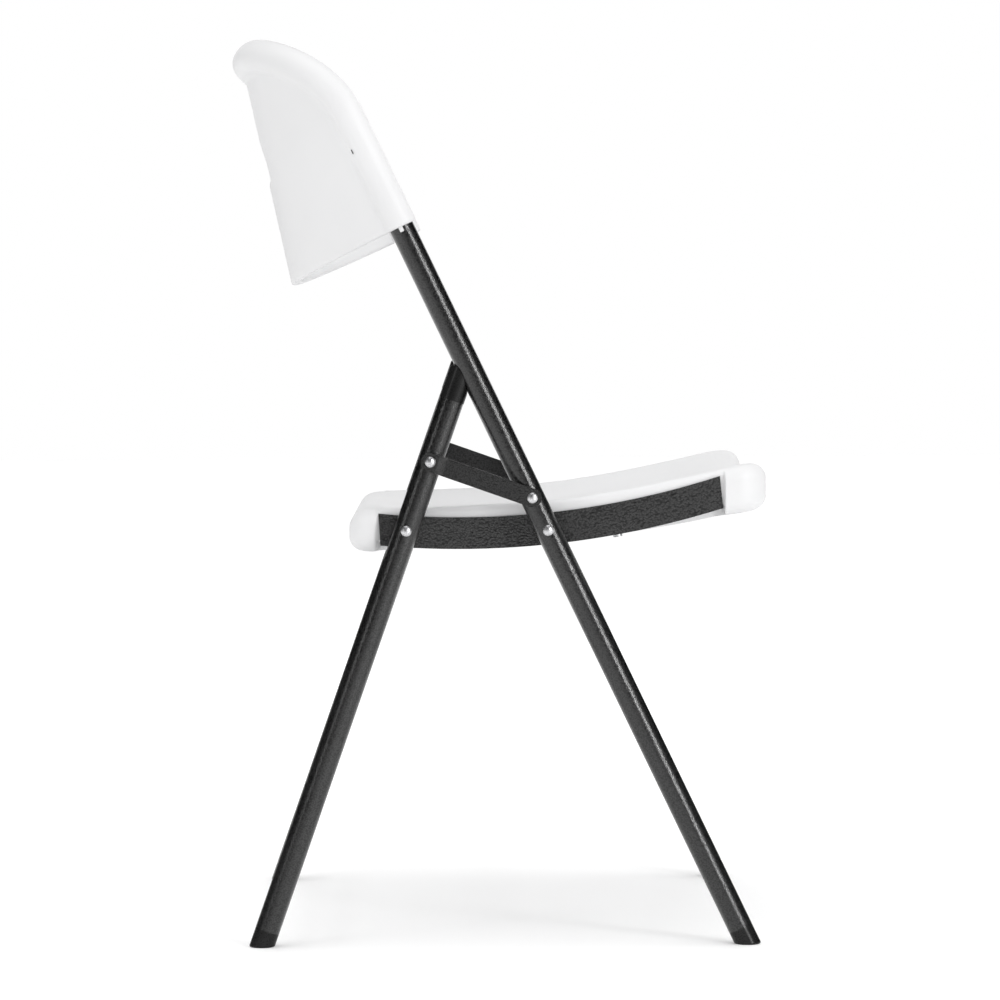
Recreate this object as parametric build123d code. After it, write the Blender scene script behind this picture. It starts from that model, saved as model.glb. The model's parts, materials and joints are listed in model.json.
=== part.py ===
from build123d import *

import math
import os

# Folding chair with a tubular steel frame and blow-moulded seat and back.
# Millimetres. +Z is up, the chair faces -Y, and X = 0 is its plane of symmetry.
# The origin is on the floor, under the middle of the whole chair.

# ---- Driving dimensions -------------------------------------------------

tube_radius = 11.1            # 22.2 mm (7/8 in) steel tube
tube_wall = 1.2
crossbar_radius = 8.0
crossbar_wall = 1.0

front_lean = 25.45            # degrees that the front legs lean back from vertical
rear_lean = 19.55             # degrees that the rear legs lean forward from vertical
front_foot_y = -224.4         # where the axis of a front leg meets the floor
rear_foot_y = 212.5           # where the axis of a rear leg meets the floor
front_half_width = 212.1      # from X = 0 to the axis of a front leg
rear_half_width = 208.6       # from X = 0 to the axis of a rear leg

seat_pivot_height = 373.4     # both seat pivots are at this height
link_front_height = 402.6     # link pivot on the front leg
link_rear_height = 435.0      # link pivot on the rear leg

front_tube_start = 16.2       # along the front leg, from the floor to the tube's cut end
rear_tube_start = 15.6
rear_tube_end = 519.7         # along the rear leg, where the top cap takes over
front_crossbar_height = 150.0
rear_crossbar_height = 128.0

rivet_radius = 3.0
rivet_head_radius = 4.8
rivet_head_height = 2.4
rivet_clench_radius = 4.4
rivet_clench_height = 1.6
rivet_bulge = (0.72, 0.6)      # shares of the height and radius that the dome passes through
running_fit = 0.06            # radial play of a hole that turns on a rivet
hole_reach = 4.0              # holes are cut this far past a plate's face
side_play = 0.2               # play along X between parts that turn on each other
washer_radius = 6.5
washer_thickness = 0.8
bush_radius = 6.5
bush_overlap = 3.0            # a bush reaches this far past the leg's inner face

link_width = 16.6
link_thickness = 2.5
link_bend_run = 7.0           # length along the link that its joggle takes
link_bend_start = 7.6         # from the rear pivot to the joggle
link_bend_ease = 0.9          # the outer face bends this much nearer the pivot

bracket_face = 192.4          # outer face of the bracket web, from X = 0
bracket_thickness = 1.5
bracket_flange = 19.0
bracket_height = 28.5
bracket_arc_radius = 764.0    # upper edge of the bracket
seat_arc_y = 28.6             # the arcs of the seat share this centre
seat_arc_height = 1148.0
bracket_rear_y = 105.1
bracket_front_y = -202.0
bracket_rear_rake = 1.5       # the ends of the web lean forward by this much
bracket_front_rake = 3.0

seat_half_width = 195.5
seat_recess_gap = 0.2         # between the seat's side and the bracket
seat_end_gap = 1.0            # between the seat and the bracket's edges
seat_pivot_pocket = (8.0, 6.0)       # radius and depth, round a clenched rivet end
seat_rear_y = 132.1
seat_front_y = -245.0
seat_plan_radius = 34.0
seat_dish_depth = 7.0
seat_dish_half_width = 165.0
seat_dish_angles = (-20, 40)  # where the turned dish starts, and how far it turns, in degrees
seat_blank_height = 600.0     # the plan outline is carried up past the seat's top
seat_wall = 3.0
seat_cavity_half_width = 176.0
seat_cavity_rear_y = 116.0
seat_cavity_front_y = -226.0

# side outline of the seat, as (Y, Z), from the top's rear end round the front
seat_middle_top = 395.5
seat_top_points = ((114.1, 392.0), (28.6, 395.5), (-100.0, 409.5), (-200.0, 428.0), (-222.0, 430.8))
seat_nose = (-242.0, 421.0)
seat_front_face = ((-245.0, 408.0), (-242.0, 396.5))
seat_chin = (-236.0, 389.5)
seat_front_under = (-226.0, 387.0)
seat_under_waves = ((-175.0, 4.0), (-80.0, 1.0), (28.6, 0.0))   # Y, and drop below the bracket space
seat_rear_under = ((90.0, 355.5), (112.1, 353.0))
seat_heel = (127.1, 355.5)
seat_rear_face = ((131.3, 364.0), (132.1, 372.0))
seat_shoulder = (126.6, 386.5)

bracket_screw_rows = (86.0, -110.0)
bracket_screw_x = 180.9
bracket_screw_radius = 1.8
bracket_screw_length = 12.0
bracket_screw_head = (4.2, 2.4)      # radius and height
bracket_screw_gap = 0.1

back_start = 714.0            # along the front tube, lower end of the back
back_stop = 914.0             # axis of the arch at its corners
rim_radius = 14.8
rim_clearance = 0.1
rim_bore_overrun = 20.0       # the rim's bore is cut this far past its lower end
panel_thickness = 9.0
panel_depths = {714.0: 117.5, 812.0: 94.5, 912.0: 71.0}
panel_overhang = 11.0         # the panel's edge is this far outside the rim's axis
panel_clip = 8.0              # and the panel is trimmed this far outside it
panel_shares = (0.985, 0.96, 0.9, 0.8, 0.65, 0.45, 0.2)
panel_curve = (2.05, 0.65)    # exponents of the panel's plan curve
arch_depth = 63.5             # how far behind the leg axes the top of the arch is
arch_corner_radius = 90.0
arch_crown = 5.0              # rise of the arch from its corners to its middle
arch_angles = (9, 27, 45, 63, 81)    # tangent points of each corner, in degrees
arch_flat = 60.0              # half length of the straight run at the top
arch_bends = [74.0, 74.0, 74.0, 74.0, 74.0, 120.0]

# grip lip along the top of the back: X, depth, place along the legs, half height, half depth
lip_sections = (
    (150.0, 47.6, 908.0, 12.0, 11.0),
    (96.0, 59.5, 911.0, 17.6, 15.8),
    (0.0, 63.0, 915.0, 20.0, 17.2),
)

back_screw_stations = (752.0, 790.0)
back_screw_head = (3.4, 1.6, 0.6)    # radius, depth in the rim, height above it
back_screw_shank = (1.7, 3.0)        # radius, length inside the tube
screw_overlap = 0.1           # a shank runs this far into its head
screw_hole_play = 0.05

foot_radius = 11.0
foot_round = 1.4
foot_plug_length = 16.0
foot_reach = 12.0             # the sleeve runs this far below the floor before it is cut flat
foot_block = (80.0, 120.0, 100.0)    # block above the floor that the sleeve is cut with

cap_height = 30.5
cap_radius = 11.4
cap_half_depth = 11.6
cap_shoulder = (6.0, (-6.0, 21.4), (7.2, 30.5))   # rise of the front side, middle and end of the slope
cap_crown = (10.3, 29.5)
cap_rear_rise = 26.5
cap_saddle_gap = 0.35
cap_plug_length = 18.0

SIDES = {"right": -1, "left": 1}

# ---- Frames of the legs -------------------------------------------------

front_up = Vector(0, math.sin(math.radians(front_lean)), math.cos(math.radians(front_lean)))
rear_up = Vector(0, -math.sin(math.radians(rear_lean)), math.cos(math.radians(rear_lean)))


def front_frame(side=0):
    """Local frame on the front leg: z runs up the tube, y points to the rear."""
    return Plane(origin=(side * front_half_width, front_foot_y, 0), x_dir=(1, 0, 0), z_dir=front_up)


def rear_frame(side=0):
    """Local frame on the rear leg: z runs up the tube, y points to the rear."""
    return Plane(origin=(side * rear_half_width, rear_foot_y, 0), x_dir=(1, 0, 0), z_dir=rear_up)


def on_front_leg(height):
    """Y and Z of the point of the front leg's axis at a height."""
    return front_foot_y + height * math.tan(math.radians(front_lean)), height


def on_rear_leg(height):
    """Y and Z of the point of the rear leg's axis at a height."""
    return rear_foot_y - height * math.tan(math.radians(rear_lean)), height


seat_front_pivot = on_front_leg(seat_pivot_height)
seat_rear_pivot = on_rear_leg(seat_pivot_height)
link_front_pivot = on_front_leg(link_front_height)
link_rear_pivot = on_rear_leg(link_rear_height)

front_inner_face = front_half_width - tube_radius
front_outer_face = front_half_width + tube_radius
rear_inner_face = rear_half_width - tube_radius
rear_outer_face = rear_half_width + tube_radius


# ---- Small shapes -------------------------------------------------------

def disc(place, start, end, radius):
    """A cylinder along X at (y, z), between two values of X."""
    low, high = min(start, end), max(start, end)
    plane = Plane(origin=(low, place[0], place[1]), x_dir=(0, 1, 0), z_dir=(1, 0, 0))
    return extrude(plane * Circle(radius), high - low)


def ring(place, start, end, outer, inner):
    """A flat ring or bush along X."""
    low, high = min(start, end), max(start, end)
    return disc(place, low, high, outer) - disc(place, low - 1, high + 1, inner)


def rivet_end(place, root, base, direction, height, radius):
    """Part of a rivet along X, turned: a shank from X = root and a domed end on X = base."""
    tip = base + direction * height
    bulge = (base + direction * rivet_bulge[0] * height, rivet_bulge[1] * radius)
    outline = [
        ThreePointArc((tip, 0), bulge, (base, radius)),
        Line((base, radius), (base, rivet_radius)),
        Line((base, rivet_radius), (root, rivet_radius)),
        Line((root, rivet_radius), (root, 0)),
        Line((root, 0), (tip, 0)),
    ]
    return Pos(0, place[0], place[1]) * revolve(make_face(outline), Axis.X)


def rivet_head(place, root, base, side):
    return rivet_end(place, root, base, side, rivet_head_height, rivet_head_radius)


def rivet_clench(place, root, base, side):
    return rivet_end(place, root, base, -side, rivet_clench_height, rivet_clench_radius)


def straight_tube(frame, start, end, radius, wall):
    """A tube along the z axis of a local frame."""
    section = Circle(radius) - Circle(radius - wall)
    return extrude(frame * Pos(0, 0, start) * section, end - start)


def single(shape):
    """The one solid that a boolean result holds."""
    solids = shape.solids()
    return max(solids, key=lambda solid: solid.volume)


# ---- Front frame --------------------------------------------------------

def panel_curve_at(share):
    """Depth of the panel, as a share of its middle, at a share of its half width."""
    return (1 - abs(share) ** panel_curve[0]) ** panel_curve[1]


def arch_path(start):
    """The bent axis of the front tube from one cut end over the arch to the other."""
    corner_x = front_half_width - arch_corner_radius
    corner_s = back_stop - arch_corner_radius
    reach = arch_corner_radius / math.cos(math.radians(arch_angles[0]))
    right_half = [(front_half_width, 0, start)]
    for angle in arch_angles:
        x = corner_x + reach * math.cos(math.radians(angle))
        s = corner_s + reach * math.sin(math.radians(angle))
        right_half.append((x, arch_depth * (1 - (x / front_half_width) ** 4), s))
    right_half.append((arch_flat, arch_depth, back_stop + arch_crown))
    left_half = [(-x, y, z) for x, y, z in reversed(right_half)]
    points = [front_frame().from_local_coords(point) for point in right_half + left_half]
    return FilletPolyline(*points, radius=arch_bends + arch_bends[::-1])


def along_arch(start, radius, wall=0):
    """A rod or tube swept along the front frame's axis."""
    path = arch_path(start)
    section = Circle(radius)
    if wall:
        section = section - Circle(radius - wall)
    plane = Plane(origin=path @ 0, z_dir=path % 0)
    return sweep(plane * section, path=path, transition=Transition.ROUND)


def front_frame_tube():
    tube = along_arch(front_tube_start, tube_radius, tube_wall)
    for side in SIDES.values():
        for pivot in (seat_front_pivot, link_front_pivot):
            inner = side * (front_inner_face - tube_wall)
            outer = side * (front_outer_face + tube_wall)
            tube -= disc(pivot, inner, outer, rivet_radius)
    for place in back_screw_places():
        tube -= back_screw(*place)
    return single(tube)


def crossbar(half_width, place):
    """A straight tube whose coped ends are welded to both legs."""
    return ring(place, -half_width, half_width, crossbar_radius, crossbar_radius - crossbar_wall)


def front_crossbar():
    bar = crossbar(front_half_width, on_front_leg(front_crossbar_height))
    for side in SIDES.values():
        bar -= extrude(front_frame(side) * Circle(tube_radius), 2 * front_crossbar_height)
    return single(bar)


def panel_section(station, depth):
    """Closed plan section of the back panel, across the leg axes at a station."""
    frame = Plane(origin=front_frame().from_local_coords((0, 0, station)), x_dir=(1, 0, 0), z_dir=front_up)
    rear_half = front_half_width + panel_overhang
    front_half = rear_half - panel_thickness
    shares = [-k for k in panel_shares] + [0] + list(panel_shares[::-1])
    rear = [(rear_half * k, depth * panel_curve_at(k)) for k in shares]
    front = [(front_half * k, (depth - panel_thickness) * panel_curve_at(k)) for k in shares]
    rear_edge = Spline(*rear)
    front_edge = Spline(*front)
    ends = [Line(rear[0], front[0]), Line(rear[-1], front[-1])]
    return frame * make_face([rear_edge, front_edge] + ends)


def lip_section(x, depth, station, half_height, half_depth):
    """Elliptical section of the grip lip, square to X."""
    frame = front_frame()
    centre = frame.from_local_coords((x, depth, station))
    return Plane(centre, x_dir=frame.y_dir, z_dir=(1, 0, 0)) * Ellipse(half_depth, half_height)


def grip_lip():
    right_half = [lip_section(-x, *rest) for x, *rest in lip_sections]
    left_half = [lip_section(x, *rest) for x, *rest in lip_sections[-2::-1]]
    return loft(right_half + left_half)


def backrest_shell():
    panel = loft([panel_section(station, depth) for station, depth in panel_depths.items()], ruled=True)
    half_width = front_half_width + panel_clip
    height = 2 * (back_stop - back_start)
    front_view = Pos(0, back_stop + panel_clip - height / 2) * RectangleRounded(
        2 * half_width, height, arch_corner_radius + panel_clip)
    outline = front_frame() * Rot(90, 0, 0) * extrude(front_view, 2 * front_half_width, both=True)
    shell = (panel & outline) + along_arch(back_start, rim_radius) + grip_lip()
    shell = shell - along_arch(back_start - rim_bore_overrun, tube_radius + rim_clearance)
    shell = single(shell)
    for x, station, inward in back_screw_places():
        shell -= back_screw(x, station, inward, screw_hole_play)
    return single(shell)


def back_screw_places():
    """X, distance along the tube and inward direction of each back screw."""
    for side in SIDES.values():
        for station in back_screw_stations:
            yield side * front_half_width, station, -side


def back_screw(x, station, inward, clearance=0):
    """A pan-head screw that holds the rim to the tube, driven from the inner side."""
    _, y, z = front_frame().from_local_coords((0, 0, station))
    head_radius, head_depth, head_rise = back_screw_head
    shank_radius, shank_length = back_screw_shank
    under_head = x + inward * (rim_radius - head_depth)
    top = x + inward * (rim_radius + head_rise)
    end = x + inward * (tube_radius - shank_length)
    head = disc((y, z), under_head, top, head_radius + clearance)
    shank = disc((y, z), end, under_head + inward * screw_overlap, shank_radius + clearance)
    return head + shank


def backrest_screws():
    return Compound(children=[single(back_screw(*place)) for place in back_screw_places()])


# ---- Feet and caps ------------------------------------------------------

def foot(frame, tube_start):
    """A plastic foot: flush sleeve, flat on the floor, with a plug up the tube."""
    body = extrude(frame * Pos(0, 0, -foot_reach) * Circle(foot_radius), tube_start + foot_reach)
    plug = extrude(frame * Pos(0, 0, tube_start) * Circle(tube_radius - tube_wall), foot_plug_length)
    centre = frame.origin
    body = body & Pos(centre.X, centre.Y, foot_block[2] / 2) * Box(*foot_block)
    sole = body.faces().sort_by(Axis.Z)[0]
    body = fillet(sole.edges(), foot_round)
    return single(body + plug)


def rear_leg_cap(side):
    """Top cap of a rear leg: a skewed dome with a saddle that rests on the front tube."""
    frame = rear_frame(side)
    base = rear_tube_end
    front_rise, slope_middle, slope_end = cap_shoulder
    front_side = (-cap_half_depth, base + front_rise)
    slope_top = (slope_end[0], base + slope_end[1])
    rear_side = (cap_half_depth, base + cap_rear_rise)
    contour = Plane(frame.origin, x_dir=frame.y_dir, z_dir=(1, 0, 0)) * make_face([
        Line((-cap_half_depth, base), front_side),
        ThreePointArc(front_side, (slope_middle[0], base + slope_middle[1]), slope_top),
        ThreePointArc(slope_top, (cap_crown[0], base + cap_crown[1]), rear_side),
        Line(rear_side, (cap_half_depth, base)),
        Line((cap_half_depth, base), (-cap_half_depth, base)),
    ])
    prism = extrude(contour, 2 * tube_radius, both=True)
    body = extrude(frame * Pos(0, 0, base) * Circle(cap_radius), cap_height)
    front_tube = extrude(front_frame(side) * Circle(tube_radius + cap_saddle_gap), back_stop)
    cap = (body & prism) - front_tube
    plug_foot = frame * Pos(0, 0, base - cap_plug_length)
    plug = extrude(plug_foot * Circle(tube_radius - tube_wall), cap_plug_length)
    return single(single(cap) + plug)


# ---- Rear legs ----------------------------------------------------------

def rear_leg(side):
    tube = straight_tube(rear_frame(side), rear_tube_start, rear_tube_end, tube_radius, tube_wall)
    for pivot in (seat_rear_pivot, link_rear_pivot):
        inner = side * (rear_inner_face - tube_wall)
        outer = side * (rear_outer_face + tube_wall)
        tube -= disc(pivot, inner, outer, rivet_radius)
    return single(tube)


def rear_crossbar():
    bar = crossbar(rear_half_width, on_rear_leg(rear_crossbar_height))
    for side in SIDES.values():
        bar -= extrude(rear_frame(side) * Circle(tube_radius), 2 * rear_crossbar_height)
    return single(bar)


# ---- Seat ---------------------------------------------------------------

def seat_arc(radius, y):
    """Y and Z of a point on one of the seat's concentric arcs."""
    return y, seat_arc_height - math.sqrt(radius ** 2 - (y - seat_arc_y) ** 2)


def side_profile(edges):
    """A face in the plane X = 0, drawn with (Y, Z) points."""
    return Plane.YZ * make_face(edges)


def seat_side_profile():
    """Side outline of the seat, with full ends at the front and the rear."""
    bracket_space = bracket_arc_radius + bracket_height - bracket_thickness - seat_recess_gap
    under = [seat_arc(bracket_space + drop, y) for y, drop in seat_under_waves]
    return side_profile([
        Spline(*seat_top_points),
        ThreePointArc(seat_top_points[-1], seat_nose, seat_front_face[0]),
        Line(*seat_front_face),
        ThreePointArc(seat_front_face[1], seat_chin, seat_front_under),
        Line(seat_front_under, under[0]),
        Spline(*under, *seat_rear_under),
        ThreePointArc(seat_rear_under[1], seat_heel, seat_rear_face[0]),
        Line(*seat_rear_face),
        ThreePointArc(seat_rear_face[1], seat_shoulder, seat_top_points[0]),
    ])


def bracket_profile(growth=0.0):
    """Side outline of the bracket web, between two arcs."""
    low = bracket_arc_radius + bracket_height + growth
    high = bracket_arc_radius - growth
    rear = bracket_rear_y + growth
    front = bracket_front_y - growth
    low_rear = rear - bracket_rear_rake
    low_front = front - bracket_front_rake
    middle = (rear + front) / 2
    return side_profile([
        Line(seat_arc(high, rear), seat_arc(low, low_rear)),
        ThreePointArc(seat_arc(low, low_rear), seat_arc(low, middle), seat_arc(low, low_front)),
        Line(seat_arc(low, low_front), seat_arc(high, front)),
        ThreePointArc(seat_arc(high, front), seat_arc(high, middle), seat_arc(high, rear)),
    ])


def seat_dish():
    """A shallow dish turned about the centre of the seat's arcs."""
    brim = seat_arc_height - seat_middle_top
    half = seat_dish_half_width
    room = 60.0
    section = Plane.XY * make_face([
        ThreePointArc((-half, -brim), (0, -brim - seat_dish_depth), (half, -brim)),
        Polyline((half, -brim), (half, -brim + room), (-half, -brim + room), (-half, -brim)),
    ])
    # the section stands below the centre, and turns about the X direction
    start, turn = seat_dish_angles
    ring_body = revolve(Rot(90, 0, 0) * section, Axis.X, turn)
    return Pos(0, seat_arc_y, seat_arc_height) * Rot(start, 0, 0) * ring_body


def seat_under_bracket(side):
    """Space under the seat's edge that the bracket's flange takes."""
    low = bracket_arc_radius + bracket_height + tube_radius
    high = bracket_arc_radius + bracket_height - bracket_thickness - seat_recess_gap
    rear = bracket_rear_y + seat_end_gap
    front = bracket_front_y - bracket_front_rake - seat_end_gap
    start = side * (bracket_face - bracket_flange - seat_end_gap)
    return arc_strip(high, low, rear, front, start, side * (seat_half_width + bracket_flange))


def seat_panel():
    """Hollow blow-moulded seat with recessed sides for the brackets."""
    blank = extrude(seat_side_profile(), seat_half_width, both=True)
    plan = Pos(0, (seat_rear_y + seat_front_y) / 2, 0) * RectangleRounded(
        2 * seat_half_width, seat_rear_y - seat_front_y, seat_plan_radius)
    seat = (blank & extrude(plan, seat_blank_height)) - seat_dish()
    hollow_top = seat_arc_height - seat_middle_top + seat_dish_depth + seat_wall
    hollow_bottom = bracket_arc_radius + bracket_height - bracket_thickness - seat_wall
    seat -= arc_strip(hollow_top, hollow_bottom, seat_cavity_rear_y, seat_cavity_front_y,
                      -seat_cavity_half_width, seat_cavity_half_width)
    recess_face = bracket_face - bracket_thickness - seat_recess_gap
    recess_reach = 40.0
    for side in SIDES.values():
        recess = extrude(bracket_profile(seat_end_gap), recess_reach)
        seat -= Pos(recess_face if side > 0 else -recess_face - recess_reach, 0, 0) * recess
        seat -= seat_under_bracket(side)
        pocket_radius, pocket_depth = seat_pivot_pocket
        for pivot in (seat_front_pivot, seat_rear_pivot):
            seat -= disc(pivot, side * (recess_face - pocket_depth), side * recess_face, pocket_radius)
        for frame in bracket_screw_frames(side):
            seat -= extrude(frame * Circle(bracket_screw_radius), bracket_screw_length + seat_end_gap)
    return single(seat)


def arc_strip(high, low, rear, front, start, end):
    """A strip between two of the seat's arcs, from one X to another."""
    middle = (rear + front) / 2
    section = side_profile([
        Line(seat_arc(high, rear), seat_arc(low, rear)),
        ThreePointArc(seat_arc(low, rear), seat_arc(low, middle), seat_arc(low, front)),
        Line(seat_arc(low, front), seat_arc(high, front)),
        ThreePointArc(seat_arc(high, front), seat_arc(high, middle), seat_arc(high, rear)),
    ])
    return Pos(min(start, end), 0, 0) * extrude(section, abs(end - start))


def seat_bracket(side):
    """Steel angle: a web that follows the seat's arc and a flange turned in under it."""
    outer = side * bracket_face
    inner = side * (bracket_face - bracket_thickness)
    web = Pos(min(outer, inner), 0, 0) * extrude(bracket_profile(), bracket_thickness)
    low = bracket_arc_radius + bracket_height
    flange = arc_strip(low - bracket_thickness, low, bracket_rear_y - bracket_rear_rake,
                       bracket_front_y - bracket_front_rake, outer, side * (bracket_face - bracket_flange))
    bracket = web + flange
    for pivot in (seat_front_pivot, seat_rear_pivot):
        bracket -= disc(pivot, outer - side * hole_reach, outer + side * hole_reach, rivet_radius + running_fit)
    for frame in bracket_screw_frames(side):
        bracket -= extrude(frame * Circle(bracket_screw_radius), hole_reach, both=True)
    return single(bracket)


def bracket_screw_frames(side):
    """Frames on the lower face of a bracket's flange; z points to the arcs' centre."""
    for y in bracket_screw_rows:
        _, z = seat_arc(bracket_arc_radius + bracket_height, y)
        centre = Vector(0, seat_arc_y - y, seat_arc_height - z)
        yield Plane(origin=(side * bracket_screw_x, y, z), x_dir=(1, 0, 0), z_dir=centre)


def bracket_screws():
    screws = []
    for side in SIDES.values():
        for frame in bracket_screw_frames(side):
            head_radius, head_height = bracket_screw_head
            under_head = frame * Pos(0, 0, -bracket_screw_gap)
            head = extrude(under_head * Circle(head_radius), -head_height)
            shank_foot = under_head * Pos(0, 0, -screw_overlap)
            shank = extrude(shank_foot * Circle(bracket_screw_radius), bracket_screw_length)
            screws.append(single(head + shank))
    return Compound(children=screws)


# ---- Links, rivets, bushes and washers ----------------------------------

link_rear_face = rear_outer_face + washer_thickness + side_play
link_front_face = front_outer_face + washer_thickness + side_play


def link(side):
    """Flat stay with round ends and a joggle beside the rear leg."""
    start = Vector(0, link_rear_pivot[0], link_rear_pivot[1])
    end = Vector(0, link_front_pivot[0], link_front_pivot[1])
    length = (end - start).length
    along = (end - start).normalized()
    plane = Plane(origin=start, x_dir=along, z_dir=(1, 0, 0))
    outline = plane * Pos(length / 2, 0) * SlotCenterToCenter(length, link_width)
    far_side = 2 * front_outer_face
    blank = Pos(0 if side > 0 else -far_side, 0, 0) * extrude(outline, far_side)
    reach = link_width
    bend_end = link_bend_start + link_bend_run
    section = Plane(origin=start, x_dir=along, z_dir=along.cross(Vector(1, 0, 0)))
    near, far = link_rear_face, link_front_face
    points = [(-reach, near), (link_bend_start, near), (bend_end, far), (length + reach, far),
              (length + reach, far + link_thickness), (bend_end - link_bend_ease, far + link_thickness),
              (link_bend_start - link_bend_ease, near + link_thickness), (-reach, near + link_thickness)]
    corners = [start + along * a + Vector(side * b, 0, 0) for a, b in points]
    strip = make_face(Polyline(*corners, close=True).edges())
    strip_solid = extrude(strip, link_width, both=True)
    plate = blank & strip_solid
    inner, outer = side * (near - hole_reach), side * (far + hole_reach)
    plate -= disc(link_front_pivot, inner, outer, rivet_radius + running_fit)
    plate -= disc(link_rear_pivot, inner, outer, rivet_radius)
    return single(plate)


def pivot_rivet(place, side, inner, outer):
    """A rivet along X: domed head outside, clenched end inside."""
    middle = side * (inner + outer) / 2
    head = rivet_head(place, middle, side * outer, side)
    return single(head + rivet_clench(place, middle, side * inner, side))


def seat_front_rivet(side):
    inner = bracket_face - bracket_thickness - side_play
    return pivot_rivet(seat_front_pivot, side, inner, front_outer_face)


def seat_rear_rivet(side):
    inner = bracket_face - bracket_thickness - side_play
    return pivot_rivet(seat_rear_pivot, side, inner, rear_outer_face)


def link_front_rivet(side):
    outer = link_front_face + link_thickness + side_play
    return pivot_rivet(link_front_pivot, side, front_inner_face, outer)


def link_rear_rivet_head(side):
    """Outer part of the link's rear rivet, which stays in the link."""
    outer = link_rear_face + link_thickness
    return single(rivet_head(link_rear_pivot, side * link_rear_face, side * outer, side))


def link_rear_rivet_tail(side):
    """Inner part of the link's rear rivet, which stays in the rear leg."""
    outer = rear_outer_face + washer_thickness
    return single(rivet_clench(link_rear_pivot, side * outer, side * rear_inner_face, side))


def seat_bush(place, side, leg_inner_face, leg_frame):
    """Spacer between a leg and the bracket, hollowed to sit on the round tube."""
    start = side * (bracket_face + side_play)
    end = side * (leg_inner_face + bush_overlap)
    bush = ring(place, start, end, bush_radius, rivet_radius)
    return single(bush - extrude(leg_frame * Circle(tube_radius), 900))


def link_washer(place, side, leg_outer_face):
    return single(ring(place, side * leg_outer_face, side * (leg_outer_face + washer_thickness),
                       washer_radius, rivet_radius))


# ---- Nodes --------------------------------------------------------------

def build_nodes():
    nodes = {
        "front_frame_tube": front_frame_tube(),
        "front_crossbar": front_crossbar(),
        "backrest_shell": backrest_shell(),
        "backrest_screws": backrest_screws(),
        "rear_crossbar": rear_crossbar(),
        "seat_panel": seat_panel(),
        "seat_bracket_screws": bracket_screws(),
    }
    for name, side in SIDES.items():
        nodes["front_foot_" + name] = foot(front_frame(side), front_tube_start)
        nodes["rear_foot_" + name] = foot(rear_frame(side), rear_tube_start)
        nodes["rear_leg_" + name] = rear_leg(side)
        nodes["rear_leg_cap_" + name] = rear_leg_cap(side)
        nodes["seat_bracket_" + name] = seat_bracket(side)
        nodes["link_" + name] = link(side)
        nodes["seat_front_rivet_" + name] = seat_front_rivet(side)
        nodes["seat_rear_rivet_" + name] = seat_rear_rivet(side)
        nodes["link_front_rivet_" + name] = link_front_rivet(side)
        nodes["link_rear_rivet_head_" + name] = link_rear_rivet_head(side)
        nodes["link_rear_rivet_tail_" + name] = link_rear_rivet_tail(side)
        nodes["seat_front_bush_" + name] = seat_bush(
            seat_front_pivot, side, front_inner_face, front_frame(side))
        nodes["seat_rear_bush_" + name] = seat_bush(
            seat_rear_pivot, side, rear_inner_face, rear_frame(side))
        nodes["link_front_washer_" + name] = link_washer(link_front_pivot, side, front_outer_face)
        nodes["link_rear_washer_" + name] = link_washer(link_rear_pivot, side, rear_outer_face)
    return nodes


os.makedirs("parts", exist_ok=True)
for node_name, node_shape in build_nodes().items():
    export_step(node_shape, "parts/" + node_name + ".step")
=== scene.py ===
import json
import math

import bpy
import numpy as np
from mathutils import Matrix, Vector


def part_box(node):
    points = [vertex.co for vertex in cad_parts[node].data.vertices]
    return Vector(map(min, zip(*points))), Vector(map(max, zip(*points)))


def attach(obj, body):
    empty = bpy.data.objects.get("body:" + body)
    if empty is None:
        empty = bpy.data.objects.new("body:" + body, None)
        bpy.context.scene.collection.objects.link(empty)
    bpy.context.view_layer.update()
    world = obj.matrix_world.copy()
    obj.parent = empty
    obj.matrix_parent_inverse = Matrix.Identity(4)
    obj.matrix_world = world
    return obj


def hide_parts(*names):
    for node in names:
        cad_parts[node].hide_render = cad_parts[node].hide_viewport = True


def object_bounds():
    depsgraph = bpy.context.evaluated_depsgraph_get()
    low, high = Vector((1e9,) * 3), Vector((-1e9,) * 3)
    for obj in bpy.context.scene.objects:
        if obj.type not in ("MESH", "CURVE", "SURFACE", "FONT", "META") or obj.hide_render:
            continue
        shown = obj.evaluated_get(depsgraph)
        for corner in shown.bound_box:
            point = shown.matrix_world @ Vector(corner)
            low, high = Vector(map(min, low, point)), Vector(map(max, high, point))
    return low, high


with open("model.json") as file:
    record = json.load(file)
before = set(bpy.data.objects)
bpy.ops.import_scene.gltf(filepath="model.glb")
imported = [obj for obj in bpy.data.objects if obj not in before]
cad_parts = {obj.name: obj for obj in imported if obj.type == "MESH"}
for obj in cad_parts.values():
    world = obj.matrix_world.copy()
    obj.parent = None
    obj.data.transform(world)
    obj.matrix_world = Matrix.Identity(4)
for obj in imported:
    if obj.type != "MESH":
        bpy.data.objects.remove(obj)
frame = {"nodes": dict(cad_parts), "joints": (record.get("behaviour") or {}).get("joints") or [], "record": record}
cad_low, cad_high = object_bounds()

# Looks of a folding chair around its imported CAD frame. Metres, +Z up, the chair faces -Y.
# The seat and the back are built here as smooth blow-moulded shells; the steel parts are the
# CAD nodes with painted, plastic and zinc materials.

MM = 0.001
SMOOTHING = 0.5                # share of the way that one smoothing round moves a point
nodes = frame["nodes"]
SIDES = {"right": -1, "left": 1}


# ---- Places read from the frame ------------------------------------------

def slot_nodes(slot):
    """The CAD nodes that take their finish from a material slot of the record."""
    return [part["node"] for part in frame["record"]["subparts"] if part["material_slot"] == slot]


def joint_place(name):
    """Y and Z of a hinge, in metres."""
    joint = next(j for j in frame["joints"] if j["name"] == name)
    return joint["pos_m"][1], joint["pos_m"][2]


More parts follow.
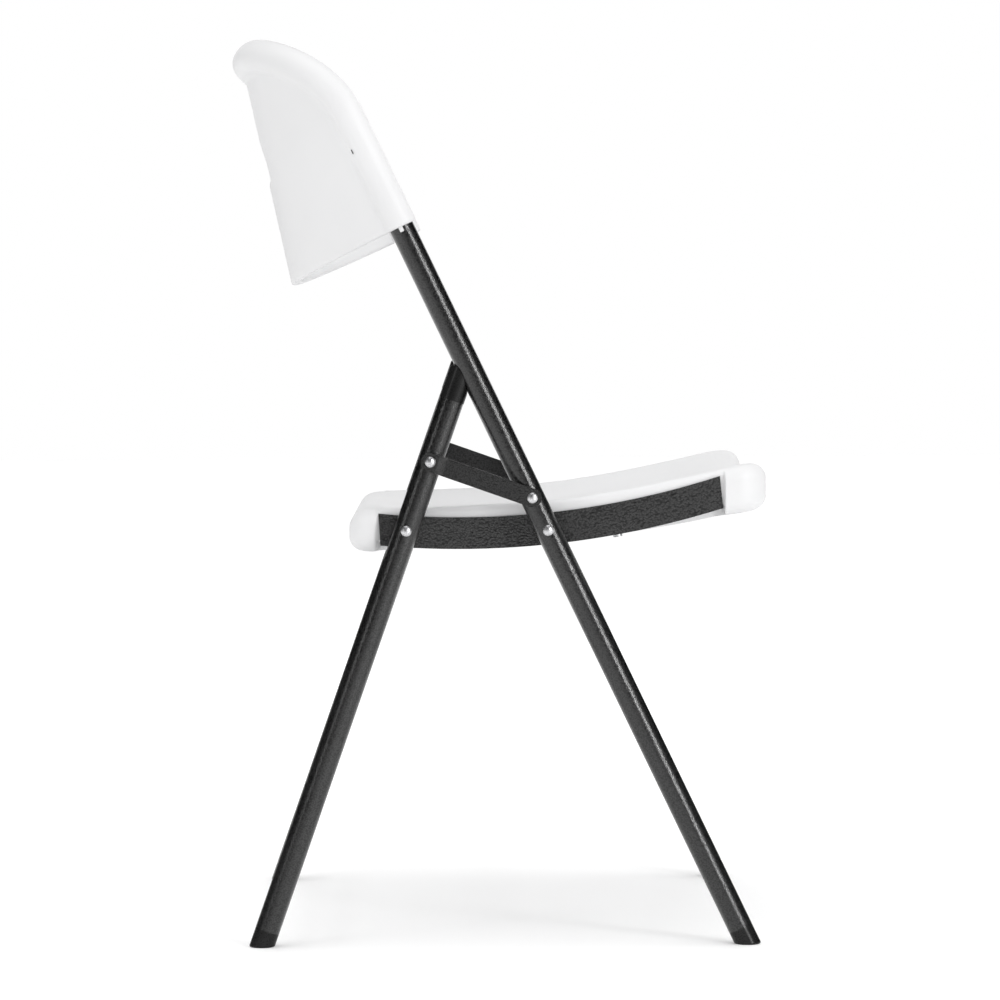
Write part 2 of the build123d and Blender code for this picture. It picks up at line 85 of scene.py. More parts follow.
front_sole = next(m for m in frame["record"]["mounts"] if m["name"] == "front_foot_left_sole")
leg_x, leg_foot_y, _ = front_sole["pos_m"]
pivot_y, pivot_z = joint_place("seat_fold")
front_lean = math.atan2(pivot_y - leg_foot_y, pivot_z)
leg_up = Vector((0, math.sin(front_lean), math.cos(front_lean)))
leg_back = Vector((0, math.cos(front_lean), -math.sin(front_lean)))


def leg_point(x, behind, along):
    """A point from X, the distance behind the front legs' plane and the distance up the legs."""
    return Vector((x, leg_foot_y, 0)) + leg_back * behind + leg_up * along


# ---- Mesh helpers ---------------------------------------------------------

def new_piece(name, verts, faces, body, finish):
    """A smooth-shaded mesh object that rides on a CAD body."""
    mesh = bpy.data.meshes.new(name)
    mesh.from_pydata([tuple(v) for v in verts], [], faces)
    mesh.validate()
    mesh.update()
    mesh.shade_smooth()
    piece = bpy.data.objects.new(name, mesh)
    bpy.context.scene.collection.objects.link(piece)
    mesh.materials.append(finish)
    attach(piece, body)
    return piece


def grid_faces(rows, columns, start=0, closed=False, flip=False):
    """Quads between rows of vertices that are numbered row after row."""
    faces = []
    for i in range(rows - 1):
        for j in range(columns if closed else columns - 1):
            k = (j + 1) % columns
            quad = (start + i * columns + j, start + i * columns + k,
                    start + (i + 1) * columns + k, start + (i + 1) * columns + j)
            faces.append(quad[::-1] if flip else quad)
    return faces


def smoothstep(low, high, value):
    """Eased step from 0 at low to 1 at high, which may be on either side."""
    t = np.clip((value - low) / (high - low), 0, 1)
    return t * t * (3 - 2 * t)


def apply_modifiers(piece):
    """Turns a piece and its modifiers into one plain mesh."""
    graph = bpy.context.evaluated_depsgraph_get()
    mesh = bpy.data.meshes.new_from_object(piece.evaluated_get(graph))
    piece.modifiers.clear()
    old = piece.data
    piece.data = mesh
    bpy.data.meshes.remove(old)


def remeshed(piece, voxel, rounds):
    """Joins overlapping closed shapes into one skin and rounds its creases."""
    remesh = piece.modifiers.new("remesh", "REMESH")
    remesh.mode = "VOXEL"
    remesh.voxel_size = voxel
    remesh.use_smooth_shade = True
    smooth = piece.modifiers.new("smooth", "SMOOTH")
    smooth.factor = SMOOTHING
    smooth.iterations = rounds
    apply_modifiers(piece)
    piece.data.shade_smooth()


# ---- Materials --------------------------------------------------------------

def material(name):
    made = bpy.data.materials.new(name)
    made.use_nodes = True
    tree = made.node_tree
    tree.nodes.clear()
    shader = tree.nodes.new("ShaderNodeBsdfPrincipled")
    output = tree.nodes.new("ShaderNodeOutputMaterial")
    tree.links.new(shader.outputs["BSDF"], output.inputs["Surface"])
    return made, tree, shader


def object_place(tree):
    return tree.nodes.new("ShaderNodeTexCoord").outputs["Object"]


def voronoi(tree, place, scale):
    node = tree.nodes.new("ShaderNodeTexVoronoi")
    node.feature = "F1"
    node.inputs["Scale"].default_value = scale
    tree.links.new(place, node.inputs["Vector"])
    return node


def noise(tree, place, scale, detail=3.0, roughness=0.5):
    node = tree.nodes.new("ShaderNodeTexNoise")
    node.inputs["Scale"].default_value = scale
    node.inputs["Detail"].default_value = detail
    node.inputs["Roughness"].default_value = roughness
    tree.links.new(place, node.inputs["Vector"])
    return node


def ramp(tree, value, stops):
    """A colour ramp from (position, grey or colour) pairs."""
    node = tree.nodes.new("ShaderNodeValToRGB")
    elements = node.color_ramp.elements
    while len(elements) < len(stops):
        elements.new(0.5)
    for element, (position, colour) in zip(elements, stops):
        element.position = position
        element.color = (*colour, 1) if hasattr(colour, "__len__") else (colour, colour, colour, 1)
    tree.links.new(value, node.inputs["Fac"])
    return node.outputs["Color"]


def math_node(tree, operation, first, second):
    node = tree.nodes.new("ShaderNodeMath")
    node.operation = operation
    for socket, value in zip(node.inputs, (first, second)):
        if isinstance(value, (int, float)):
            socket.default_value = value
        else:
            tree.links.new(value, socket)
    return node.outputs[0]


def bump(tree, height, distance, strength=1.0, normal=None):
    node = tree.nodes.new("ShaderNodeBump")
    node.inputs["Distance"].default_value = distance
    node.inputs["Strength"].default_value = strength
    tree.links.new(height, node.inputs["Height"])
    if normal is not None:
        tree.links.new(normal, node.inputs["Normal"])
    return node.outputs["Normal"]


def hammertone(name, cell, depth, coat_depth, dark, light, roughness):
    """Charcoal hammered enamel: small uneven cells with paler, glossier crowns."""
    wander_scale, wander_reach = 0.4 / cell, 1.3 * cell
    fine_scale, fine_share = 2.2 / cell, 0.5
    broad_scale, broad_share = 14.0, 0.2
    made, tree, shader = material(name)
    place = object_place(tree)
    wander = noise(tree, place, wander_scale, 2.0)
    warp = tree.nodes.new("ShaderNodeVectorMath")
    warp.operation = "MULTIPLY_ADD"
    warp.inputs[1].default_value = (wander_reach, wander_reach, wander_reach)
    tree.links.new(wander.outputs["Color"], warp.inputs[0])
    tree.links.new(place, warp.inputs[2])
    cells = voronoi(tree, warp.outputs[0], 1 / cell)
    fine = noise(tree, place, fine_scale, 3.0, 0.6)
    broad = noise(tree, place, broad_scale, 2.0)
    crown = math_node(tree, "SUBTRACT", 1.0, cells.outputs["Distance"])
    height = math_node(tree, "ADD", crown, math_node(tree, "MULTIPLY", fine.outputs["Fac"], fine_share))
    tone = math_node(tree, "MULTIPLY", broad.outputs["Fac"], broad_share)
    shade = math_node(tree, "ADD", height, tone)
    tree.links.new(ramp(tree, shade, [(0.62, dark), (0.98, light)]), shader.inputs["Base Color"])
    tree.links.new(ramp(tree, fine.outputs["Fac"], [(0.3, roughness + 0.08), (0.7, roughness - 0.06)]),
                   shader.inputs["Roughness"])
    tree.links.new(bump(tree, height, depth), shader.inputs["Normal"])
    tree.links.new(bump(tree, height, coat_depth), shader.inputs["Coat Normal"])
    shader.inputs["Metallic"].default_value = 0.3
    shader.inputs["Specular IOR Level"].default_value = 0.3
    shader.inputs["Coat Weight"].default_value = 0.8
    shader.inputs["Coat Roughness"].default_value = 0.20
    return made


def moulded_white():
    """White polyethylene with a faint satin grain and slight tone changes."""
    tone_scale, grain_scale, dimple_scale = 9.0, 900.0, 120.0
    grain_depth, dimple_depth = 0.008 * MM, 0.03 * MM
    low_tone, high_tone = (0.665, 0.665, 0.67), (0.685, 0.685, 0.69)
    scatter = 0.004
    made, tree, shader = material("moulded_white")
    place = object_place(tree)
    broad = noise(tree, place, tone_scale, 2.0)
    grain = noise(tree, place, grain_scale, 2.0)
    dimple = noise(tree, place, dimple_scale, 2.0)
    tree.links.new(ramp(tree, broad.outputs["Fac"], [(0.3, low_tone), (0.7, high_tone)]),
                   shader.inputs["Base Color"])
    tree.links.new(ramp(tree, grain.outputs["Fac"], [(0.3, 0.46), (0.7, 0.54)]), shader.inputs["Roughness"])
    coarse = bump(tree, dimple.outputs["Fac"], dimple_depth, 0.5)
    tree.links.new(bump(tree, grain.outputs["Fac"], grain_depth, 0.5, coarse), shader.inputs["Normal"])
    shader.inputs["Subsurface Weight"].default_value = 0.08
    shader.inputs["Subsurface Radius"].default_value = (scatter, scatter, scatter)
    shader.inputs["Subsurface Scale"].default_value = 1.0
    shader.inputs["IOR"].default_value = 1.5
    shader.inputs["Specular IOR Level"].default_value = 0.28
    return made


def moulded_black():
    """Smooth black plastic of the feet and caps, with slight changes of tone."""
    grain_scale, tone_scale = 700.0, 30.0
    grain_depth = 0.03 * MM
    made, tree, shader = material("moulded_black")
    place = object_place(tree)
    grain = noise(tree, place, grain_scale, 3.0)
    broad = noise(tree, place, tone_scale, 3.0)
    tree.links.new(ramp(tree, broad.outputs["Fac"], [(0.3, 0.006), (0.75, 0.014)]),
                   shader.inputs["Base Color"])
    tree.links.new(ramp(tree, grain.outputs["Fac"], [(0.3, 0.24), (0.7, 0.34)]), shader.inputs["Roughness"])
    tree.links.new(bump(tree, grain.outputs["Fac"], grain_depth, 0.7), shader.inputs["Normal"])
    shader.inputs["Specular IOR Level"].default_value = 0.22
    return made


def bright_zinc():
    """Bright zinc plate with the mottled middle of a formed rivet head."""
    mottle_scale, mottle_depth = 900.0, 0.15 * MM
    low_tone, high_tone = (0.42, 0.42, 0.43), (0.74, 0.74, 0.75)
    made, tree, shader = material("bright_zinc")
    place = object_place(tree)
    mottle = noise(tree, place, mottle_scale, 4.0, 0.65)
    tree.links.new(ramp(tree, mottle.outputs["Fac"], [(0.35, low_tone), (0.65, high_tone)]),
                   shader.inputs["Base Color"])
    tree.links.new(ramp(tree, mottle.outputs["Fac"], [(0.3, 0.50), (0.7, 0.34)]), shader.inputs["Roughness"])
    tree.links.new(bump(tree, mottle.outputs["Fac"], mottle_depth, 0.5), shader.inputs["Normal"])
    shader.inputs["Metallic"].default_value = 1.0
    return made


paint = hammertone("hammertone_paint", 1.3 * MM, 0.14 * MM, 0.10 * MM, 0.0, 0.018, 0.34)
pebbled = hammertone("pebbled_paint", 1.8 * MM, 0.30 * MM, 0.16 * MM, 0.0, 0.028, 0.36)
white_plastic = moulded_white()
black_plastic = moulded_black()
zinc = bright_zinc()


bracket_edge = 0.7 * MM        # rounding of the pressed brackets' edges
weld_reach = 0.01 * MM
sharp_angle = math.radians(50)


def paint_nodes():
    """Gives every CAD node the material of its slot, and the brackets the coarser paint."""
    finishes = {"frame_paint": paint, "white_plastic": white_plastic,
                "black_plastic": black_plastic, "zinc_steel": zinc}
    for slot, finish in finishes.items():
        for name in slot_nodes(slot):
            chosen = pebbled if name.startswith("seat_bracket_") and slot == "frame_paint" else finish
            nodes[name].data.materials.clear()
            nodes[name].data.materials.append(chosen)
            if chosen is pebbled:
                soften(nodes[name], bracket_edge)


def soften(node, width):
    """Rounds the sharp edges of a sheet-metal part."""
    weld = node.modifiers.new("weld", "WELD")
    weld.merge_threshold = weld_reach
    bevel = node.modifiers.new("bevel", "BEVEL")
    bevel.width = width
    bevel.segments = 3
    bevel.limit_method = "ANGLE"
    bevel.angle_limit = sharp_angle


# ---- Back -------------------------------------------------------------------

back_low = 713.6 * MM          # lower end of the back, up the front legs
arch_top = 914.0 * MM          # axis of the arch at its corners
arch_crown = 2.8 * MM
arch_radius = 90.0 * MM
arch_depth = 61.8 * MM
rim_radius = 14.8 * MM
lip_along = 14.8 * MM          # half height of the grip lip at the top of the back
lip_across = 16.0 * MM
lip_sink = 2.0 * MM            # the lip hangs this far below the arch's axis
panel_half_width = 222.0 * MM
panel_thickness = 9.0 * MM
panel_low_depth = 117.8 * MM   # middle of the panel behind the legs' plane, at back_low
panel_slope = 0.2355           # how much nearer the panel comes per unit up the legs
dent_low = 813.0 * MM          # lower edge of the shallow recess behind the sitter's back
dent_fade = 34.0 * MM
dent_depth = 3.6 * MM
dent_step = 5.0 * MM           # height of the step at the recess's lower edge
dent_half = (38.0 * MM, 62.0 * MM)       # half width of the recess, full and faded out
panel_curve = (2.05, 0.65)     # exponents of the panel's curve across
panel_top_gap = 4.0 * MM       # the panel ends this far below the arch's axis
panel_tuck = 0.9995            # the panel's edge keeps this share of its half width
arch_fall = 4                  # exponent with which the arch comes forward towards its corners
lip_turns = (0.35, 1.35)       # turns of the arch between which the lip grows
rim_steps = (12, 40, 22)       # rings up the side, round the corner and along the top
rim_points = 48
shell_voxel = 1.5 * MM
shell_rounds = 4


def rim_axis(turn):
    """Point (x, behind, along) and outward normal (x, along) of the rim at a turn round the arch.

    The turn is 0 at the right corner's start, pi / 2 where the corner ends, then straight to x = 0."""
    corner_x = leg_x - arch_radius
    corner_s = arch_top - arch_radius
    if turn <= 0:
        x, s, normal = leg_x, corner_s + turn * arch_radius, (1.0, 0.0)
    elif turn <= math.pi / 2:
        normal = (math.cos(turn), math.sin(turn))
        x, s = corner_x + arch_radius * normal[0], corner_s + arch_radius * normal[1]
    else:
        x = max(corner_x - (turn - math.pi / 2) * arch_radius, 0.0)
        s = arch_top
        normal = (0.0, 1.0)
    crown = arch_crown * (1 - (x / leg_x) ** 2) ** 2
    depth = arch_depth * (1 - (x / leg_x) ** arch_fall) if turn > 0 else 0.0
    return (x, depth, s + crown), normal


def rim_rings():
    """Rings of points round the rim, from the right end over the arch to the left end."""
    corner_s = arch_top - arch_radius
    start = (back_low - corner_s) / arch_radius
    end = math.pi / 2 + (leg_x - arch_radius) / arch_radius
    side_steps, turn_steps, top_steps = rim_steps
    turns = list(np.linspace(start, 0, side_steps)[:-1]) \
        + list(np.linspace(0, math.pi / 2, turn_steps)) \
        + list(np.linspace(math.pi / 2, end, top_steps)[1:])
    centres = [rim_axis(turn) for turn in turns]
    rings = []
    for i, ((x, p, s), (nx, ns)) in enumerate(centres):
        before = centres[max(i - 1, 0)][0]
        after = centres[min(i + 1, len(centres) - 1)][0]
        tangent = Vector(after) - Vector(before)
        tangent.normalize()
        outward = Vector((nx, 0, ns))
        rearward = outward.cross(tangent).normalized()
        if rearward.y < 0:
            rearward = -rearward
        grip = float(smoothstep(*lip_turns, turns[i]))
        along = rim_radius + (lip_along - rim_radius) * grip
        across = rim_radius + (lip_across - rim_radius) * grip
        middle = Vector((x, p, s)) - outward * lip_sink * grip
        ring = [middle + outward * along * math.cos(a) + rearward * across * math.sin(a)
                for a in np.linspace(0, 2 * math.pi, rim_points, endpoint=False)]
        rings.append([(v.x, v.y, v.z) for v in ring])
    mirrored = [[(-x, p, s) for x, p, s in ring] for ring in rings[-2::-1]]
    return rings + mirrored


def panel_outline_half(along):
    """Half width of the back panel at a distance up the legs, just outside the rim's axis."""
    corner_x = leg_x - arch_radius
    rise = np.clip(along - (arch_top - arch_radius), 0, arch_radius)
    return corner_x + np.sqrt(arch_radius ** 2 - rise ** 2) + (panel_half_width - leg_x)


def panel_depth(x, along):
    """How far the rear face of the panel is behind the legs' plane."""
    half = panel_outline_half(along)
    edge = np.clip((half - (panel_half_width - leg_x)) / leg_x, 0, 1)
    edge_depth = arch_depth * (1 - edge ** arch_fall)
    middle = panel_low_depth - panel_slope * (along - back_low)
    share = np.clip(np.abs(x) / half, 0, 1)
    dent = dent_depth * smoothstep(dent_low - dent_step, dent_low, along) \
        * (1 - np.clip((along - dent_low) / dent_fade, 0, 1)) * (1 - smoothstep(*dent_half, np.abs(x)))
    curve = (1 - share ** panel_curve[0]) ** panel_curve[1]
    return edge_depth + (middle - edge_depth) * curve - dent


def back_shell():
    """Curved blow-moulded panel and its rolled rim, joined into one skin."""
    verts, faces = [], []

    rings = rim_rings()
    count = len(rings[0])
    for ring in rings:
        verts += [leg_point(*point) for point in ring]
    faces += grid_faces(len(rings), count, closed=True)
    faces += [tuple(range(count)), tuple(range(len(verts) - 1, len(verts) - count - 1, -1))]

    columns, rows = 121, 60
    shares = np.sin(np.linspace(-1, 1, columns) * math.pi / 2)
    alongs = np.linspace(back_low, arch_top - panel_top_gap, rows)
    rear = np.zeros((rows, columns, 3))
    for i, along in enumerate(alongs):
        half = panel_outline_half(along)
        x = shares * half * panel_tuck
        rear[i, :, 0] = x
        rear[i, :, 1] = panel_depth(x, along)
        rear[i, :, 2] = along
    across = np.gradient(rear, axis=1)
    upward = np.gradient(rear, axis=0)
    normal = np.cross(upward, across)
    normal /= np.linalg.norm(normal, axis=2, keepdims=True)
    normal *= np.sign(normal[:, :, 1:2] + 1e-9)
    front = rear - normal * panel_thickness
    front[:, :, 2] = np.clip(front[:, :, 2], back_low, None)
    front[0, :, 2] = back_low
    start = len(verts)
    for sheet in (rear, front):
        for row in sheet:
            verts += [leg_point(*point) for point in row]
    size = rows * columns
    faces += grid_faces(rows, columns, start)
    faces += grid_faces(rows, columns, start + size, flip=True)
    border = list(range(columns)) + [i * columns + columns - 1 for i in range(1, rows)] \
        + [(rows - 1) * columns + j for j in range(columns - 2, -1, -1)] \
        + [i * columns for i in range(rows - 2, 0, -1)]
    for a, b in zip(border, border[1:] + border[:1]):
        faces.append((start + b, start + a, start + size + a, start + size + b))

    shell = new_piece("back_shell", verts, faces, "front_frame", white_plastic)
    remeshed(shell, shell_voxel, shell_rounds)
    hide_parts("backrest_shell")


slit_along = 792.0 * MM        # vent slit where the rim meets the panel
slit_behind = 10.3 * MM
slit_length = 4.4 * MM
slit_width = 0.7 * MM
slit_out = 11.5 * MM           # its face is this far outside the leg's axis
slit_root = 8.0 * MM           # and its inner end this far
slit_points = 24
slit_soft = 0.02               # share by which its ends are drawn in
tab_size = (1.6 * MM, 3.8 * MM, 5.6 * MM)
tab_points = 24
tab_square = 0.35              # exponent of its rounded rectangular outline
tab_soft = 0.08
tab_behind = 0.9 * MM
tab_drop = 1.7 * MM            # its middle is this far below the sleeve's end
tab_root = 0.4 * MM            # and its root this deep in the tube
prism_soft = 0.12              # share of a small prism's length in each softened end


def ring_prism(outline, start, end, inset):
    """Vertices and faces of a flat-sided body with softened ends, from a closed outline."""
    middle = sum(outline, Vector()) / len(outline)
    ease = (end - start) * prism_soft
    stations = ((start, 1 - inset), (start + ease, 1.0), (end - ease, 1.0), (end, 1 - inset))
    verts = []
    for offset, size in stations:
        verts += [middle + (point - middle) * size + offset for point in outline]
    count = len(outline)
    faces = grid_faces(len(stations), count, closed=True)
    faces += [tuple(range(count))[::-1], tuple(range(3 * count, 4 * count))]
    return verts, faces


def vent_slits():
    """A narrow slot on each side, in the valley between the rim and the panel; its black fill is painted shade
    inside the slot.
    """
    for name, side in SIDES.items():
        outline = []
        for k in range(slit_points):
            turn = 2 * math.pi * k / slit_points
            run = (slit_length - slit_width) / 2 * (1 if math.cos(turn) >= 0 else -1)
            outline.append(leg_point(0, slit_behind + slit_width / 2 * math.sin(turn),
                                     slit_along + run + slit_width / 2 * math.cos(turn)))
        inner = Vector((side * (leg_x + slit_root), 0, 0))
        outer = Vector((side * (leg_x + slit_out), 0, 0))
        verts, faces = ring_prism(outline, inner, outer, slit_soft)
        # painted shade: a black plastic piece stands for the shade inside the slot
        new_piece("back_slit_shade_" + name, verts, faces, "front_frame", black_plastic)


def sleeve_tabs():
    """A small moulded tab under the end of each sleeve, on the outer side of the tube."""
    depth, width, height = tab_size
    for name, side in SIDES.items():
        outline = []
        for k in range(tab_points):
            turn = 2 * math.pi * (k + 0.5) / tab_points
            across = width / 2 * math.copysign(abs(math.cos(turn)) ** tab_square, math.cos(turn))
            along = height / 2 * math.copysign(abs(math.sin(turn)) ** tab_square, math.sin(turn))
            outline.append(leg_point(0, tab_behind + across, back_low - tab_drop + along))
        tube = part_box("front_frame_tube")[1].x
        inner = Vector((side * (tube - tab_root), 0, 0))
        outer = Vector((side * (tube - tab_root + depth), 0, 0))
        verts, faces = ring_prism(outline, inner, outer, tab_soft)
        new_piece("back_tab_" + name, verts, faces, "front_frame", white_plastic)


# ---- Seat -------------------------------------------------------------------

bracket_low, bracket_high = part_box("seat_bracket_right")
seat_low, seat_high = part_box("seat_panel")
seat_half = seat_high.x
seat_rear = seat_high.y
seat_front = seat_low.y
arc_y, arc_z = 28.6 * MM, 1148.0 * MM      # centre of the seat's concentric arcs
flange_radius = 790.8 * MM                 # upper face of the bracket's flange
plan_radius = 27.0 * MM
recess_half = 190.6 * MM                   # half width of the seat between the brackets
dish_depth = 8.0 * MM
front_dip = 4.0 * MM                       # further fall of the front edge between its corners
dish_half = 165.0 * MM                     # half width of the dish
dish_curve = 2.4                           # exponent of its curve across
dish_fade = 60.0 * MM                      # length over which it fades out at the rear
dip_half = (128.0 * MM, 172.0 * MM)        # half width of the front dip, full and faded out
dip_reach = 60.0 * MM
end_gap = 0.6 * MM                         # from a bracket's end to the full width of the seat
end_ease = 1.5 * MM
top_edges = (17.0 * MM, 13.0 * MM, 6.0 * MM)       # top edge radius: rear, front, beside a bracket
under_edges = (12.0 * MM, 10.0 * MM)       # underside edge radius: rear, front
flange_gap = 0.2 * MM
flange_inner = (170.5 * MM, 172.5 * MM)    # the step up to the bracket's flange
pull_reach = 30.0 * MM                     # the drawn-in sides fade out over this distance
fan_start = 12.0 * MM                      # inset from which the loops turn into the middle grid
corner_steps = 8
across_steps = 73
along_steps = 70
end_steps = 15                             # extra stations at a bracket's end
end_station_gap = 1.2 * MM
end_reach = 4.2 * MM
station_gap = 0.35 * MM                    # least distance between stations
corner_margin = 0.4 * MM
wall_steps = 14

# side outline of the seat as (Y, Z) in millimetres, from the rear to the front
crest_outline = ((132, 390.5), (113, 391.8), (70, 392.6), (28, 393.8), (-20, 396.2), (-67, 400.4),
                 (-110, 406.9), (-136, 411.6), (-174, 419.4), (-196, 424.2), (-210, 427.4),
                 (-222, 429.9), (-232, 430.4), (-245, 429.6))
underside_outline = ((132, 354.5), (120, 353.2), (112, 353.0), (90, 354.6), (28, 357.0), (-80, 361.6),
                     (-175, 377.2), (-209, 384.4), (-222, 385.9), (-236, 388.4), (-245, 392.0))
loop_insets = (0, 0.25, 0.8, 1.6, 2.8, 4.2, 6.0, 8.2, 10.6, 13.4, 17.0, 21.5, 27.0)


def arc_height(radius, y):
    return arc_z - np.sqrt(radius ** 2 - (y - arc_y) ** 2)


def plan_inset(x, y):
    """Distance from a point to the seat's rounded rectangular outline, positive inside."""
    middle = (seat_rear + seat_front) / 2
    qx = np.abs(x) - (seat_half - plan_radius)
    qy = np.abs(y - middle) - ((seat_rear - seat_front) / 2 - plan_radius)
    outside = np.hypot(np.maximum(qx, 0), np.maximum(qy, 0)) + np.minimum(np.maximum(qx, qy), 0)
    return plan_radius - outside


def beside_bracket(y):
    """1 where the bracket lies along the seat's side, 0 at the full front and rear ends."""
    rear = bracket_high.y + end_gap
    front = bracket_low.y - end_gap
    return smoothstep(front - end_ease, front, y) * (1 - smoothstep(rear, rear + end_ease, y))


def height_along(outline, y):
    """Height of a side outline at Y."""
    knots = np.array(outline)[::-1] * MM
    return np.interp(y, knots[:, 0], knots[:, 1])


def smoothed(outline, y, reach=7.0 * MM):
    """Height of a side outline averaged over a short reach, so that its knots don't show."""
    shifts = (-1, -0.5, 0, 0.5, 1)
    return sum(height_along(outline, y + reach * k) for k in shifts) / len(shifts)


def edge_drop(inset, radius):
    """How far a rounded edge has fallen at a distance in from the outline."""
    lack = np.clip(1 - inset / radius, 0, 1)
    return radius * (1 - np.sqrt(np.clip(1 - lack ** 2, 0, 1)))


def front_share(x, y):
    """1 along the middle of the seat's front edge, 0 at its corners and behind it."""
    between = 1 - smoothstep(*dip_half, np.abs(x))
    return between * smoothstep(dip_reach, 0, y - seat_front)


def seat_top(x, y):
    inset = plan_inset(x, y)
    width = np.clip(np.abs(x) / dish_half, 0, 1)
    rear_fade = smoothstep(0, dish_fade, seat_rear - y)
    dish = dish_depth * (1 - width ** dish_curve) * rear_fade + front_dip * front_share(x, y)
    side = beside_bracket(y)
    rear_edge, front_edge, side_edge = top_edges
    radius = np.where(y > 0, rear_edge, front_edge) * (1 - side) + side_edge * side
    return smoothed(crest_outline, y) - dish - edge_drop(inset, radius)


def seat_under(x, y):
    inset = plan_inset(x, y)
    side = beside_bracket(y) * smoothstep(*flange_inner, np.abs(x))
    flange = arc_height(flange_radius, y) + flange_gap
    base = smoothed(underside_outline, y)
    radius = np.where(y > 0, *under_edges)
    rounded = base + edge_drop(inset, radius)
    return rounded * (1 - side) + np.maximum(flange, base) * side


def seat_side_x(x, y, inset):
    """X after the side is drawn in beside the bracket."""
    pull = (seat_half - recess_half) * beside_bracket(y) * smoothstep(pull_reach, 0, inset)
    return np.sign(x) * (np.abs(x) - pull)


def seat_plan():
    """Grid stations across and along the seat, closer together at the bracket's ends."""
    first = np.arange(corner_steps + 1) * plan_radius / corner_steps
    length = seat_rear - seat_front
    across = np.concatenate([first, np.linspace(plan_radius, 2 * seat_half - plan_radius, across_steps)[1:-1],
                             2 * seat_half - first[::-1]]) - seat_half
    middle = [np.linspace(plan_radius, length - plan_radius, along_steps)[1:-1]]
    for end in (bracket_low.y - end_station_gap, bracket_high.y + end_station_gap):
        middle.append(np.linspace(-end_reach, end_reach, end_steps) + end - seat_front)
    middle = np.unique(np.round(np.concatenate(middle), 6))
    middle = middle[(middle > plan_radius + corner_margin) & (middle < length - plan_radius - corner_margin)]
    keep = [middle[0]]
    for value in middle[1:]:
        if value - keep[-1] > station_gap:
            keep.append(value)
    along = np.concatenate([first, keep, length - first[::-1]]) + seat_front
    return across, along


def outline_place(u, v, inset):
    """A border point of the plan grid, moved onto the rounded outline drawn in by an inset."""
    middle = (seat_rear + seat_front) / 2
    half_y = (seat_rear - seat_front) / 2
    radius = plan_radius - inset
    cx, cy = seat_half - plan_radius, half_y - plan_radius
    dx, dy = abs(u) - cx, abs(v - middle) - cy
    if dx > 1e-9 and dy > 1e-9:
        turn = math.atan2(dy, dx) if max(dx, dy) < plan_radius * 0.999 else (
            math.pi / 4 * dy / dx if dx > dy else math.pi / 2 - math.pi / 4 * dx / dy)
        x, y = cx + radius * math.cos(turn), cy + radius * math.sin(turn)
    elif dx > dy:
        x, y = seat_half - inset, abs(v - middle)
    else:
        x, y = abs(u), half_y - inset
    return math.copysign(x, u), math.copysign(y, v - middle) + middle


def seat_shell():
    """Blow-moulded seat: dished top, full rounded ends, and sides drawn in for the brackets."""
    across, along = seat_plan()
    columns, rows = len(across), len(along)
    border = [(j, 0) for j in range(columns)] + [(columns - 1, i) for i in range(1, rows)] \
        + [(j, rows - 1) for j in range(columns - 2, -1, -1)] \
        + [(0, i) for i in range(rows - 2, 0, -1)]
    count = len(border)
    half_y = (seat_rear - seat_front) / 2
    middle_y = (seat_rear + seat_front) / 2
    scale_x = (seat_half - plan_radius) / seat_half
    scale_y = (half_y - plan_radius) / half_y
    loops = []
    for inset in np.array(loop_insets) * MM:
        pull = float(smoothstep(fan_start, plan_radius, inset))
        loop = []
        for j, i in border:
            x, y = outline_place(across[j], along[i], inset)
            core = (across[j] * scale_x, middle_y + (along[i] - middle_y) * scale_y)
            loop.append((x + (core[0] - x) * pull, y + (core[1] - y) * pull))
        loops.append(np.array(loop))
    core_x, core_y = np.meshgrid(across * scale_x, middle_y + (along - middle_y) * scale_y)

    def surface(height):
        points = []
        for loop in loops:
            x, y = loop[:, 0], loop[:, 1]
            z = height(x, y)
            points.append(np.stack([seat_side_x(x, y, plan_inset(x, y)), y, z], axis=1))
        z = height(core_x, core_y)
        side_x = seat_side_x(core_x, core_y, plan_inset(core_x, core_y))
        core = np.stack([side_x.ravel(), core_y.ravel(), z.ravel()], axis=1)
        return points, core

    top_loops, top_core = surface(seat_top)
    under_loops, under_core = surface(seat_under)
    shares = [k / wall_steps for k in range(1, wall_steps)]
    walls = [top_loops[0] * (1 - share) + under_loops[0] * share for share in shares]
    stack = top_loops[::-1] + walls + under_loops
    verts = np.concatenate(stack + [top_core, under_core])
    faces = grid_faces(len(stack), count, closed=True, flip=True)

    def core_faces(start, ring, flip):
        made = grid_faces(rows, columns, start, flip=flip)
        inner = [start + i * columns + j for j, i in border]
        outer = [ring * count + k for k in range(count)]
        for k in range(count):
            m = (k + 1) % count
            quad = (outer[k], outer[m], inner[m], inner[k])
            made.append(quad[::-1] if flip else quad)
        return made

    base = len(stack) * count
    faces += core_faces(base, 0, False)
    faces += core_faces(base + rows * columns, len(stack) - 1, True)
    seat = new_piece("seat_shell", verts, faces, "seat", white_plastic)
    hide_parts("seat_panel")


# ---- Stage ------------------------------------------------------------------

camera_place = (-3.6839, 0.0301, 0.5622)
camera_turn = (87.331, 0.363, -90.580)     # degrees
camera_lens = 140.04
camera_sensor = 36.0
camera_reach = 50.0
front_light = Vector((-0.711, -0.635, 0.302))      # directions from the chair to the lights
rear_light = Vector((-0.613, 0.744, 0.265))
light_distance = 3.2
top_light = Vector((-0.3, 0.1, 2.6))
card_place = (3.0, 1.45)                   # X and Z of the card beyond the chair
card_aim = 0.45


def add_camera():
    data = bpy.data.cameras.new("camera")
    data.lens = camera_lens
    data.sensor_width = camera_sensor
    data.clip_end = camera_reach
    camera = bpy.data.objects.new("camera", data)
    camera.location = camera_place
    camera.rotation_euler = [math.radians(angle) for angle in camera_turn]
    bpy.context.scene.collection.objects.link(camera)
    bpy.context.scene.camera = camera


